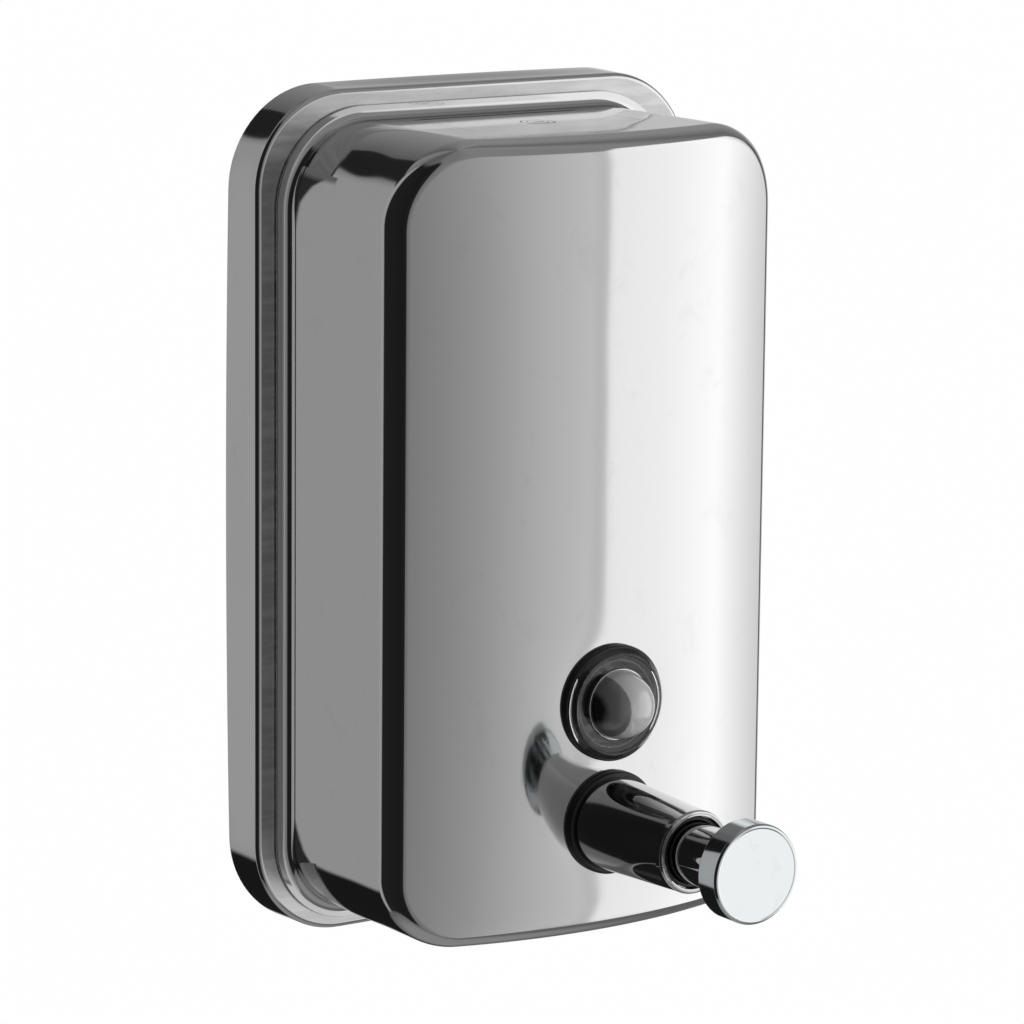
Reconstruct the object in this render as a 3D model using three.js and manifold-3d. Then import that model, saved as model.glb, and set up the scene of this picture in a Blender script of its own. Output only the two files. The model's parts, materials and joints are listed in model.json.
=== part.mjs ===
// Wall mounted soap dispenser: a polished steel tank on a shallow back pan, a push pump and a domed sight
// window on its front, a locked filler lid in its top, and a wall bracket inside the back pan.
// Millimetres, +Z up. The wall is the plane Y = 0 and the dispenser faces -Y, symmetric about X = 0.
import * as THREE from 'three';
import { LoftGeometry } from 'three/addons/geometries/LoftGeometry.js';
import { mergeVertices } from 'three/addons/utils/BufferGeometryUtils.js';
import Module from 'manifold-3d';

const wasm = await Module();
wasm.setup();

// ---- driving dimensions ----

const SHEET = 0.8;
const GAP = 0.3;
const ROUND = 20;
const FINE_ROUND = 28;

// back pan: a drawn tray whose closed face looks forward and whose rim meets the wall
const PAN = { halfX: 62.55, halfZ: 102.5, depth: 12.3, corner: 23.5, edge: 1.3, bowX: 1.3, bowZ: 0.6 };

// tank: a deep drawn cover with a bowed front, flanged onto the pan's face
const TANK = {
  halfX: 54.1, top: 95, bottom: -96.2, topCorner: 20.5, bottomCorner: 17, taper: 0,
  edgeDepth: 58, crown: 13, bowHalf: 55, edge: 4, fillet: 2.3, flat: 1.2,
};
const FLANGE_BACK = -(PAN.depth + 0.2);
const FLANGE_FRONT = FLANGE_BACK - SHEET;
const FACE_Y = -(TANK.edgeDepth + TANK.crown);

// filler lid in the tank's flat top, hinged along its back edge
const LID = { halfX: 24, back: -20.4, front: -48, thickness: 0.9, corner: 1 };
const LID_HOLE = { halfX: 24.4, back: -19.2, front: -48.4, corner: 1.2 };
const HINGE = { y: -23.2, z: 91.8, pin: 1, bore: 1.25, lug: 2.2, lugX: 20.5, lugWidth: 3 };
const FRAME = { halfX: 29.5, back: -16.4, front: -52.5, top: 93.8, bottom: 86.2 };
const MOUTH = { halfX: 18.2, back: -30.4, front: -44.2 };
const REBATE = { halfX: 21.3, back: -27.3, front: -47.3, floor: 92.2 };
const BAY = { halfX: 24.4, back: -18.5, front: -26.3, floor: 87.2 };
const LOCK = { y: -37.2, hole: 4.3, sleeve: 4, plug: 2.5, arm: 10, bottom: 86.2 };

// sight window and pump, both on axes along Y through X = 0
const WINDOW_Z = -39.4;
const WINDOW = {
  ring: 14.15, ringThickness: 1, shank: 10.2, flange: 13.5, step: 12, face: -73.1, dome: 8.2, tip: -82,
  wall: 2, back: -60,
};
const PUMP_Z = -68.5;
const BARREL = { base: 11.25, nose: 9.85, shank: 9.7, bore: 8.3, recess: 8.75, rim: -104.7, back: -44.2 };
const GASKET = { radius: 12.65, thickness: 1.7 };
const STEM = { radius: 7.25, neck: 4, front: -120.9, shoulder: -97.6, back: -86 };
const BUTTON = { radius: 11.8, back: -121.2, front: -128.2, bevel: 0.5 };
const PISTON = { radius: 8.05, front: -97.3, back: -88.9, groove: 6.9, nut: 5.6 };
const CAP = {
  radius: 12, front: -52, back: -34, floor: -43.9, cage: 5.6, cageFront: -56, seat: -44, ball: -46.75,
  port: 2, passage: -38.5,
};
const SPIGOT = { radius: 3.4, bottom: -18.5 };
const INTAKE = { top: -12.6, bottom: -24.8 };
const OUTLET = { chamber: -112, seat: -98.8, ball: -101.1, port: 1.8, bore: 2.9 };

// wall bracket and the two hanger straps that drop onto its tongues
const BRACKET = { halfX: 35, halfZ: 64, thickness: 1.5, screwX: 24, screwZ: 20, screw: 2.5 };
const TONGUE = { x: 18, halfWidth: 7, front: -5.5, sheet: 1.5, rise: 12 };
const HANGER_SEATS = [40, -55];
const STRAP = { halfX: 42, back: -2.2, sheet: 1.4, height: 14, foot: 8 };

// ---- materials ----

function material(color, roughness, metalness, extra = {}) {
  return new THREE.MeshStandardMaterial({ color, roughness, metalness, ...extra });
}

const polished = material(0xc6c8ca, 0.12, 1);
const zinc = material(0xa9adb0, 0.4, 1);
const chrome = material(0xdadcdd, 0.05, 1);
const springSteel = material(0x9b9ea1, 0.3, 1);
const rubber = material(0x161616, 0.6, 0);
const nylon = material(0xd9d8d2, 0.5, 0);
const clear = material(0xb9bdbe, 0.08, 0, { transparent: true, opacity: 0.5 });

// ---- solids ----

// A closed three.js geometry as a solid for joining and cutting, its faces turned outwards.
function solid(geometry) {
  const bare = new THREE.BufferGeometry();
  bare.setIndex(geometry.index);
  bare.setAttribute('position', geometry.getAttribute('position'));
  const merged = mergeVertices(bare, 1e-4);
  const position = merged.getAttribute('position');
  const corners = [0, 1, 2].map(() => new THREE.Vector3());
  const faces = [];
  let volume = 0;
  for (let i = 0; i < merged.index.count; i += 3) {
    const face = [0, 1, 2].map((k) => merged.index.getX(i + k));
    if (new Set(face).size === 3) {
      faces.push(face);
      face.forEach((vertex, k) => corners[k].fromBufferAttribute(position, vertex));
      volume += corners[0].dot(corners[1].clone().cross(corners[2]));
    }
  }
  const outward = volume < 0 ? faces.map(([a, b, c]) => [a, c, b]) : faces;
  return new wasm.Manifold(new wasm.Mesh({
    numProp: 3,
    vertProperties: new Float32Array(position.array),
    triVerts: new Uint32Array(outward.flat()),
  }));
}

function piece(name, shape, finish) {
  const { vertProperties, triVerts } = shape.getMesh();
  const geometry = new THREE.BufferGeometry();
  geometry.setAttribute('position', new THREE.BufferAttribute(vertProperties, 3));
  geometry.setIndex(new THREE.BufferAttribute(triVerts, 1));
  geometry.computeVertexNormals();
  const mesh = new THREE.Mesh(geometry, finish);
  mesh.name = name;
  return mesh;
}

// A box between two X, Y and Z limits.
function block([x0, x1], [y0, y1], [z0, z1]) {
  const geometry = new THREE.BoxGeometry(x1 - x0, Math.abs(y1 - y0), z1 - z0);
  return solid(geometry.translate((x0 + x1) / 2, (y0 + y1) / 2, (z0 + z1) / 2));
}

// A solid of revolution about the Y axis; the profile is a list of [radius, y].
function turned(profile, segments = ROUND) {
  return solid(new THREE.LatheGeometry(profile.map(([r, y]) => new THREE.Vector2(r, y)), segments));
}

function tube(outer, inner, front, back, segments = ROUND) {
  return turned([[inner, front], [outer, front], [outer, back], [inner, back], [inner, front]], segments);
}

function rodY(radius, front, back, segments = ROUND) {
  const geometry = new THREE.CylinderGeometry(radius, radius, back - front, segments);
  return solid(geometry.translate(0, (front + back) / 2, 0));
}

function rodX(radius, x0, x1, y, z) {
  const geometry = new THREE.CylinderGeometry(radius, radius, x1 - x0, ROUND).rotateZ(Math.PI / 2);
  return solid(geometry.translate((x0 + x1) / 2, y, z));
}

function rodZ(radius, z0, z1, x, y, segments = ROUND) {
  const geometry = new THREE.CylinderGeometry(radius, radius, z1 - z0, segments).rotateX(Math.PI / 2);
  return solid(geometry.translate(x, y, (z0 + z1) / 2));
}

// A rounded rectangle in the XY plane, extruded from z0 to z1.
function panel(halfX, back, front, corner, z0, z1) {
  const shape = new THREE.Shape();
  shape.moveTo(halfX - corner, front);
  shape.absarc(halfX - corner, front + corner, corner, -Math.PI / 2, 0);
  shape.absarc(halfX - corner, back - corner, corner, 0, Math.PI / 2);
  shape.absarc(corner - halfX, back - corner, corner, Math.PI / 2, Math.PI);
  shape.absarc(corner - halfX, front + corner, corner, Math.PI, 1.5 * Math.PI);
  const options = { depth: z1 - z0, bevelEnabled: false, curveSegments: 4 };
  return solid(new THREE.ExtrudeGeometry(shape, options).translate(0, 0, z0));
}

// A coil spring about the Y axis, as one wire swept along a helix.
function coil(radius, wire, turns, front, back, sides = 5) {
  class Helix extends THREE.Curve {
    getPoint(t, target = new THREE.Vector3()) {
      const angle = 2 * Math.PI * turns * t;
      const y = front + wire + (back - front - 2 * wire) * t;
      return target.set(radius * Math.cos(angle), y, radius * Math.sin(angle));
    }
  }
  const wireEnd = Array.from({ length: sides }, (_, k) => {
    const angle = 2 * Math.PI * k / sides;
    return new THREE.Vector2(wire * Math.cos(angle), wire * Math.sin(angle));
  });
  const options = { extrudePath: new Helix(), steps: turns * 10, bevelEnabled: false };
  return solid(new THREE.ExtrudeGeometry(new THREE.Shape(wireEnd), options));
}

// ---- drawn sheet ----

const ARC_STEPS = 5;
const TOP_STEPS = 8;
const SIDE_STEPS = 4;

// One closed section of a drawn part: a rounded rectangle grown by `grow`, at the depth given by `y(x)`.
function section(form, grow, y, { scale = 1, bowX = 0, bowZ = 0 } = {}) {
  const middle = (form.top + form.bottom) / 2;
  const halfX = form.halfX + grow;
  const halfZ = (form.top - form.bottom) / 2 + grow;
  const { topCorner, bottomCorner } = form;
  const corners = [[1, 1, topCorner], [-1, 1, topCorner], [-1, -1, bottomCorner], [1, -1, bottomCorner]];
  const ring = [];
  corners.forEach(([sx, sz, base], i) => {
    const radius = base + grow;
    for (let k = 0; k <= ARC_STEPS; k += 1) {
      const angle = (Math.PI / 2) * (i + k / ARC_STEPS);
      ring.push([
        sx * (halfX - radius) + radius * Math.cos(angle),
        sz * (halfZ - radius) + radius * Math.sin(angle),
      ]);
    }
    const [nextX, nextZ, nextBase] = corners[(i + 1) % 4];
    const nextRadius = nextBase + grow;
    const nextAngle = (Math.PI / 2) * (i + 1);
    const end = [
      nextX * (halfX - nextRadius) + nextRadius * Math.cos(nextAngle),
      nextZ * (halfZ - nextRadius) + nextRadius * Math.sin(nextAngle),
    ];
    const start = ring[ring.length - 1];
    const steps = i % 2 === 0 ? TOP_STEPS : SIDE_STEPS;
    for (let k = 1; k < steps; k += 1) {
      ring.push([start[0] + (end[0] - start[0]) * k / steps, start[1] + (end[1] - start[1]) * k / steps]);
    }
  });
  return ring.map(([x, z]) => {
    const sideBow = bowX * (1 - (z / halfZ) ** 2) * (x / halfX);
    const topBow = bowZ * (1 - (x / halfX) ** 2) * (z / halfZ);
    const wide = scale * (x + sideBow);
    return new THREE.Vector3(wide, y(wide), middle + scale * (z + topBow));
  });
}

const flatAt = (y) => () => y;
const quarter = (steps) => Array.from({ length: steps + 1 }, (_, k) => (Math.PI / 2) * k / steps);

// The pan: front face, rounded edge, side wall out to the wall plane, and back inside the sheet.
function backPan() {
  const { halfX, halfZ, corner } = PAN;
  const form = { halfX, top: halfZ, bottom: -halfZ, topCorner: corner, bottomCorner: corner };
  const rimBow = { bowX: PAN.bowX, bowZ: PAN.bowZ };
  const skin = (radius) => {
    const face = section(form, 0, flatAt(PAN.edge - PAN.depth - radius), { scale: 0 });
    const rounded = quarter(3).map((angle) => section(
      form,
      -PAN.edge + radius * Math.sin(angle),
      flatAt(PAN.edge - PAN.depth - radius * Math.cos(angle)),
    ));
    return [face, ...rounded, section(form, radius - PAN.edge, flatAt(0), rimBow)];
  };
  return solid(new LoftGeometry([...skin(PAN.edge), ...skin(PAN.edge - SHEET).reverse()]));
}

// Depth of the tank's bowed front at x, moved back by `inset` from its outer skin.
function bowed(inset) {
  return (x) => -TANK.edgeDepth + inset - TANK.crown * (1 - Math.min(1, (x / TANK.bowHalf) ** 2));
}

// One skin of the tank, from the middle of the front out to its flange, `inset` inside the sheet.
function tankSkin(inset) {
  const edge = TANK.edge - inset;
  const fillet = TANK.fillet + inset;
  const front = { ...TANK, halfX: TANK.halfX - TANK.taper };
  const face = [0, 0.25, 0.5, 0.7, 0.85].map((scale) => section(front, -TANK.edge, bowed(inset), { scale }));
  const rounded = quarter(3).map((angle) => section(
    front,
    -TANK.edge + edge * Math.sin(angle),
    (x) => bowed(TANK.edge)(x) - edge * Math.cos(angle),
  ));
  const root = quarter(2).map((angle) => section(
    TANK,
    TANK.fillet - fillet * Math.cos(angle),
    flatAt(FLANGE_FRONT - TANK.fillet + fillet * Math.sin(angle)),
  ));
  const rim = section(TANK, TANK.fillet + TANK.flat, flatAt(FLANGE_FRONT + inset));
  return [...face, ...rounded, ...root, rim];
}

function tankShell() {
  const skins = [...tankSkin(0), ...tankSkin(SHEET).reverse()];
  const shell = solid(new LoftGeometry(skins));
  const windowHole = rodY(WINDOW.shank + 0.5, FACE_Y - 1, FACE_Y + 5, FINE_ROUND).translate([0, 0, WINDOW_Z]);
  const pumpHole = rodY(BARREL.shank + 0.4, FACE_Y - 1, FACE_Y + 5, FINE_ROUND).translate([0, 0, PUMP_Z]);
  const { halfX, back, front, corner } = LID_HOLE;
  const lidHole = panel(halfX, back, front, corner, TANK.top - 2, TANK.top + 1);
  return shell.subtract(windowHole).subtract(pumpHole).subtract(lidHole);
}

// ---- filler ----

// A box over a rectangle that is symmetric about X = 0, such as a hole through the frame, grown by `grow`.
function pocket({ halfX, front, back }, z0, z1, grow = 0) {
  return block([-halfX - grow, halfX + grow], [front - grow, back + grow], [z0, z1]);
}

function fillerFrame() {
  const body = panel(FRAME.halfX, FRAME.back, FRAME.front, 2, FRAME.bottom, FRAME.top);
  const mouth = pocket(MOUTH, FRAME.bottom - 1, FRAME.top + 1);
  const rebate = pocket(REBATE, REBATE.floor, FRAME.top + 1);
  const bay = pocket(BAY, BAY.floor, FRAME.top + 1);
  const bore = rodX(HINGE.bore, -FRAME.halfX - 1, FRAME.halfX + 1, HINGE.y, HINGE.z);
  return body.subtract(mouth).subtract(rebate).subtract(bay).subtract(bore);
}

function lidGasket() {
  const top = TANK.top - LID.thickness - GAP;
  const bottom = REBATE.floor + GAP;
  return pocket(REBATE, bottom, top, -GAP).subtract(pocket(MOUTH, bottom - 1, top + 1, 0.4));
}

function fillerLid() {
  const underside = TANK.top - LID.thickness;
  let lid = panel(LID.halfX, LID.back, LID.front, LID.corner, underside, TANK.top);
  for (const side of [-1, 1]) {
    const x0 = side * HINGE.lugX - HINGE.lugWidth / 2;
    const x1 = x0 + HINGE.lugWidth;
    const web = block([x0, x1], [HINGE.y - HINGE.lug, HINGE.y + HINGE.lug], [HINGE.z, underside + GAP]);
    const lug = web.add(rodX(HINGE.lug, x0, x1, HINGE.y, HINGE.z));
    lid = lid.add(lug.subtract(rodX(HINGE.bore, x0 - 1, x1 + 1, HINGE.y, HINGE.z)));
  }
  return lid.subtract(rodZ(LOCK.hole, underside - 1, TANK.top + 1, 0, LOCK.y));
}

function lockSleeve() {
  const flangeTop = TANK.top - LID.thickness - GAP;
  const sleeve = rodZ(LOCK.sleeve, LOCK.bottom + 2, TANK.top, 0, LOCK.y);
  const flange = rodZ(LOCK.sleeve + 1.6, flangeTop - 1.2, flangeTop, 0, LOCK.y);
  return sleeve.add(flange).subtract(rodZ(LOCK.plug + GAP, LOCK.bottom, TANK.top + 1, 0, LOCK.y));
}

function lockPlug() {
  const slot = block([-1.7, 1.7], [LOCK.y - 0.4, LOCK.y + 0.4], [TANK.top - 4, TANK.top + 1]);
  return rodZ(LOCK.plug, LOCK.bottom, TANK.top, 0, LOCK.y).subtract(slot);
}

// The cam below the plug; unlocked it points along +X, and a quarter turn takes it under the frame's front.
function lockCam() {
  const top = LOCK.bottom - GAP;
  const bottom = top - 1.3;
  const arm = block([0, LOCK.arm], [LOCK.y - 2, LOCK.y + 2], [bottom, top]);
  return rodZ(3.6, bottom, top, 0, LOCK.y).add(arm);
}

// ---- sight window ----

function sightLens() {
  const { shank, dome, step, face, tip, back, flange, wall } = WINDOW;
  const root = FACE_Y - 2 * GAP - WINDOW.ringThickness;
  const rise = face - tip;
  const skin = (inset) => quarter(5).map((angle) => [
    (dome - inset) * Math.sin(angle),
    face - (rise - inset) * Math.cos(angle),
  ]);
  const rim = [[step, face], [step + 1, face + 0.4], [flange, root - 0.3], [flange, root], [shank, root]];
  const sleeve = [[shank, back], [dome - wall, back]];
  return turned([...skin(0), ...rim, ...sleeve, ...skin(wall).reverse()], FINE_ROUND);
}

// ---- pump ----

function pumpBarrel() {
  const { base, nose, shank, bore, recess, rim, back } = BARREL;
  const root = FACE_Y - 2 * GAP - GASKET.thickness;
  return turned([
    [bore, back], [shank, back], [shank, root], [base, root], [nose + 0.1, rim + 2.2], [nose, rim + 1],
    [nose - 0.5, rim], [recess, rim], [recess, rim + 3.2], [bore, rim + 3.2], [bore, back],
  ], FINE_ROUND);
}

function plungerStem() {
  const { radius, neck, front, shoulder, back } = STEM;
  const { port, bore, chamber, seat } = OUTLET;
  return turned([
    [port, back], [neck, back], [neck, shoulder], [radius, shoulder], [radius, front], [5, front],
    [5, front - 1.7], [port, front - 1.7], [port, chamber], [bore, chamber], [bore, seat - 1.4], [port, seat],
    [port, back],
  ]);
}

function pushButton() {
  const { radius, back, front, bevel } = BUTTON;
  const socket = 5.3;
  const body = turned([
    [0, front], [radius - bevel, front], [radius, front + bevel], [radius, back - 0.4], [radius - 0.4, back],
    [socket, back], [socket, back - 4], [0, back - 4],
  ], FINE_ROUND);
  const outletY = (back + front) / 2 + 0.4;
  return body.subtract(rodZ(1.3, -radius - 1, 0, 0, outletY, 12));
}

function piston() {
  const { radius, front, back, groove } = PISTON;
  const middle = (front + back) / 2;
  return turned([
    [STEM.neck + 0.25, front], [radius, front], [radius, middle - 1.2], [groove, middle - 1.2],
    [groove, middle + 1.2], [radius, middle + 1.2], [radius, back], [STEM.neck + 0.25, back],
    [STEM.neck + 0.25, front],
  ]);
}

// A ring of round section, such as an O-ring, centred at y.
function oRing(radius, half, y) {
  return solid(new THREE.TorusGeometry(radius, half, 6, ROUND).rotateX(Math.PI / 2).translate(0, y, 0));
}

// The screwed rear cap: a valve cage towards the front, a seat, a blind port and a spigot pointing down.
function inletCap() {
  const { radius, front, back, floor, cage, cageFront, seat, port, passage } = CAP;
  const chamber = 3.4;
  const cone = turned([[0, seat - 1.6], [chamber, seat - 1.6], [port, seat], [0, seat]]);
  const cup = rodY(radius, front, back).subtract(rodY(BARREL.shank + 0.25, front - 1, floor));
  const spigot = rodZ(SPIGOT.radius, SPIGOT.bottom, 0, 0, passage);
  return cup.add(rodY(cage, cageFront, floor + 0.5)).add(spigot)
    .subtract(rodY(chamber, cageFront + 1.2, seat - 1.6)).subtract(cone)
    .subtract(rodY(port, seat - 0.1, passage)).subtract(rodY(1.4, cageFront - 1, cageFront + 1.3))
    .subtract(rodZ(port, SPIGOT.bottom - 1, 0, 0, passage));
}

function intakeTube() {
  const bore = SPIGOT.radius + 0.2;
  const hose = rodZ(bore + 1, INTAKE.bottom, INTAKE.top, 0, CAP.passage);
  return hose.subtract(rodZ(bore, INTAKE.bottom - 1, INTAKE.top + 1, 0, CAP.passage));
}

// A valve ball at y on the pump's axis.
function ball(radius, y) {
  return solid(new THREE.SphereGeometry(radius, 12, 8).translate(0, y, 0));
}

// ---- wall side ----

function wallBracket() {
  const { halfX, halfZ, thickness, screwX, screwZ, screw } = BRACKET;
  let bracket = block([-halfX, halfX], [-thickness, 0], [-halfZ, halfZ]);
  for (const x of [-screwX, screwX]) {
    for (const z of [-screwZ, screwZ]) {
      bracket = bracket.subtract(rodY(screw, -thickness - 1, 1).translate([x, 0, z]));
    }
  }
  for (const seat of HANGER_SEATS) {
    for (const x of [-TONGUE.x, TONGUE.x]) {
      const { halfWidth, front, sheet, rise } = TONGUE;
      const wide = [x - halfWidth, x + halfWidth];
      const web = block(wide, [front, -thickness / 2], [seat - sheet, seat]);
      const tongue = block(wide, [front, front + sheet], [seat - sheet, seat + rise]);
      bracket = bracket.add(web).add(tongue);
    }
  }
  return bracket;
}

// A hat-shaped strap spot-welded inside the pan; its middle hangs between the tongues and the plate.
function hangerStrap(seat) {
  const { halfX, back, sheet, height, foot } = STRAP;
  const weld = -(PAN.depth - SHEET - GAP);
  const half = [
    [halfX, back], [halfX, weld + sheet], [halfX + foot, weld + sheet], [halfX + foot, weld],
    [halfX - sheet, weld], [halfX - sheet, back - sheet],
  ];
  const outline = [...half, ...half.map(([x, y]) => [-x, y]).reverse()];
  const shape = new THREE.Shape(outline.map(([x, y]) => new THREE.Vector2(x, y)));
  const geometry = new THREE.ExtrudeGeometry(shape, { depth: height, bevelEnabled: false });
  return solid(geometry.translate(0, 0, seat + GAP));
}

// ---- assembly ----

const dispenser = new THREE.Group();

dispenser.add(
  piece('wall_bracket', wallBracket(), zinc),
  piece('back_pan', backPan(), polished),
  piece('tank_shell', tankShell(), polished),
  piece('hanger_strap_upper', hangerStrap(HANGER_SEATS[0]), zinc),
  piece('hanger_strap_lower', hangerStrap(HANGER_SEATS[1]), zinc),
);

const hingePin = rodX(HINGE.pin, 0.5 - FRAME.halfX, FRAME.halfX - 0.5, HINGE.y, HINGE.z);
const filler = new THREE.Group();
filler.add(
  piece('filler_frame', fillerFrame(), nylon),
  piece('lid_gasket', lidGasket(), rubber),
  piece('filler_lid', fillerLid(), polished),
  piece('lid_hinge_pin', hingePin, springSteel),
  piece('lock_sleeve', lockSleeve(), chrome),
  piece('lock_plug', lockPlug(), chrome),
  piece('lock_cam', lockCam(), zinc),
);

const wallInside = FACE_Y + SHEET + 1;
function ringOnFace(outer, inner, thick) {
  return tube(outer, inner, FACE_Y - GAP - thick, FACE_Y - GAP, FINE_ROUND);
}

const windowGroup = new THREE.Group();
windowGroup.position.z = WINDOW_Z;
windowGroup.add(
  piece('window_ring', ringOnFace(WINDOW.ring, WINDOW.shank + 0.4, WINDOW.ringThickness), rubber),
  piece('sight_lens', sightLens(), clear),
  piece('window_washer', tube(14, WINDOW.shank + 0.4, wallInside, wallInside + 1.2), rubber),
  piece('window_nut', tube(14, WINDOW.shank + 0.25, wallInside + 1.5, wallInside + 6.5), nylon),
);

const pump = new THREE.Group();
pump.position.z = PUMP_Z;
const hexNut = rodY(14, wallInside + 1.5, wallInside + 6.5, 6).rotate([0, 30, 0])
  .subtract(rodY(BARREL.shank + 0.25, wallInside, wallInside + 8));
pump.add(
  piece('pump_gasket', ringOnFace(GASKET.radius, BARREL.shank + 0.3, GASKET.thickness), rubber),
  piece('pump_barrel', pumpBarrel(), chrome),
  piece('pump_washer', tube(12.5, BARREL.shank + 0.4, wallInside, wallInside + 1.2), rubber),
  piece('pump_nut', hexNut, nylon),
  piece('stem_guide', tube(8.45, STEM.radius + GAP, BARREL.rim + 0.8, BARREL.rim + 2.9), nylon),
  piece('stem_seal', tube(8.05, STEM.radius + 0.15, BARREL.rim + 3.3, BARREL.rim + 5), rubber),
  piece('plunger_stem', plungerStem(), chrome),
  piece('push_button', pushButton(), chrome),
  piece('piston', piston(), nylon),
  piece('piston_ring', oRing(7.5, 0.5, (PISTON.front + PISTON.back) / 2), rubber),
  piece('piston_nut', tube(PISTON.nut, STEM.neck + 0.25, PISTON.back + GAP, STEM.back - GAP), springSteel),
  piece('return_spring', coil(6.7, 0.6, 8, PISTON.back + GAP, CAP.floor - GAP), springSteel),
  piece('inlet_cap', inletCap(), nylon),
  piece('intake_tube', intakeTube(), clear),
  piece('inlet_ball', ball(3, CAP.ball), springSteel),
  piece('inlet_spring', coil(1.9, 0.3, 4, CAP.cageFront + 1.4, CAP.ball - 3.2), springSteel),
  piece('outlet_ball', ball(2.5, OUTLET.ball), springSteel),
  piece('outlet_spring', coil(1.7, 0.3, 4, OUTLET.chamber + 0.2, OUTLET.ball - 2.7), springSteel),
);

dispenser.add(filler, windowGroup, pump);

export default dispenser;
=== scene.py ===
"""A wall mounted soap dispenser: a polished steel tank on a back pan, a domed sight window and a push pump.

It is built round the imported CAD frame, in metres: +Z up, the wall is Y = 0 and the dispenser faces -Y.
Shapes are worked out in millimetres and scaled where their meshes are made.
"""
import json
import math

import bmesh
import bpy
import numpy as np
from mathutils import Matrix, Vector
from mathutils.geometry import delaunay_2d_cdt

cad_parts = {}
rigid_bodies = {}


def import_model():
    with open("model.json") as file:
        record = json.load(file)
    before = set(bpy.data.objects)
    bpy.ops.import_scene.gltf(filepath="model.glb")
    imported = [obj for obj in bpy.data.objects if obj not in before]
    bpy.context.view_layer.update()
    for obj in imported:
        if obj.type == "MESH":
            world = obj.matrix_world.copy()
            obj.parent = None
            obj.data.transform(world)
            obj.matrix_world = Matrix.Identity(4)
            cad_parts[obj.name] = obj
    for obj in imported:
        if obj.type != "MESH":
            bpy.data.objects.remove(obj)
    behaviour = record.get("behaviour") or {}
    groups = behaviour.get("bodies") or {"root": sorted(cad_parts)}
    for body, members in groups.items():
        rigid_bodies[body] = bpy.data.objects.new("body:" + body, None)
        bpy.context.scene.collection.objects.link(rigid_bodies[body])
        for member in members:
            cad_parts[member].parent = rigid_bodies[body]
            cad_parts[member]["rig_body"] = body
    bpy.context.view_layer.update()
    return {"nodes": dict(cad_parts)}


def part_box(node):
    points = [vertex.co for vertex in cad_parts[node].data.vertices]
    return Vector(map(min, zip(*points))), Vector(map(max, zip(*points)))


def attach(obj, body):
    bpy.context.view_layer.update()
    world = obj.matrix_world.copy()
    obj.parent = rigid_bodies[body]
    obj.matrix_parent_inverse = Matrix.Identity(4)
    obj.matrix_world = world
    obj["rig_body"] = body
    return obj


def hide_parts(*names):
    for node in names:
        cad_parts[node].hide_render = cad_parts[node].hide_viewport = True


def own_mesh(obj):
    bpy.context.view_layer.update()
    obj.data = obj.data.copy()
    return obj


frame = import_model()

MM = 0.001


def box_mm(node):
    """Lowest and highest corner of a CAD node, in millimetres."""
    return [np.array(corner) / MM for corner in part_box(node)]


def middle(node, axis):
    low, high = box_mm(node)
    return (low[axis] + high[axis]) / 2


# ---- dimensions, in millimetres ----

SHEET = 0.8

# back pan: its walls bow out by bow_x and bow_z between their corners
PAN = dict(
    half_x=62.55, half_z=102.5, depth=-box_mm("back_pan")[0][1], corner=23.5, edge=1.3, bow_x=1.3, bow_z=0.6)

# tank: the front bows out by crown over bow_half each way, and by pillow more at mid height; its edge is
# an ellipse, edge wide and edge_long deep; a fillet and a flat make the flange; a negative taper widens the
# front
TANK = dict(
    edge_depth=57.9, crown=12.4, pillow=0.8, bow_half=55.6, edge=3.6, edge_long=5.2,
    fillet=2.3, flat=1.2, taper=-0.35, half_x=54.1, top_corner=20.5, bottom_corner=17)
TANK_LOW, TANK_HIGH = box_mm("tank_shell")
FLANGE_REACH = 3.5
TANK_TOP = TANK_HIGH[2] - FLANGE_REACH
TANK_BOTTOM = TANK_LOW[2] + FLANGE_REACH
FLANGE_BACK = -12.5
FLANGE_FRONT = FLANGE_BACK - SHEET
RIM_ROUND = 0.12

# holes in the tank's front, and the rubber rings that lie round them
WINDOW_HOLE, PUMP_HOLE = 10.7, 10.1
WINDOW_SEAL = dict(outer=13.95, inner=10.75, thick=1.3, round_over=0.5)
PUMP_SEAL = dict(outer=12.45, inner=10.05, thick=1.6, round_over=0.7)
WINDOW_Z = middle("sight_lens", 2)
PUMP_Z = middle("pump_barrel", 2)


# ---- meshes that keep exact normals ----

# points in one cell of a fine grid are welded; the shift keeps round numbers away from the cells' walls
WELD_CELLS_PER_MM = 500
WELD_SHIFT = 0.137


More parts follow.
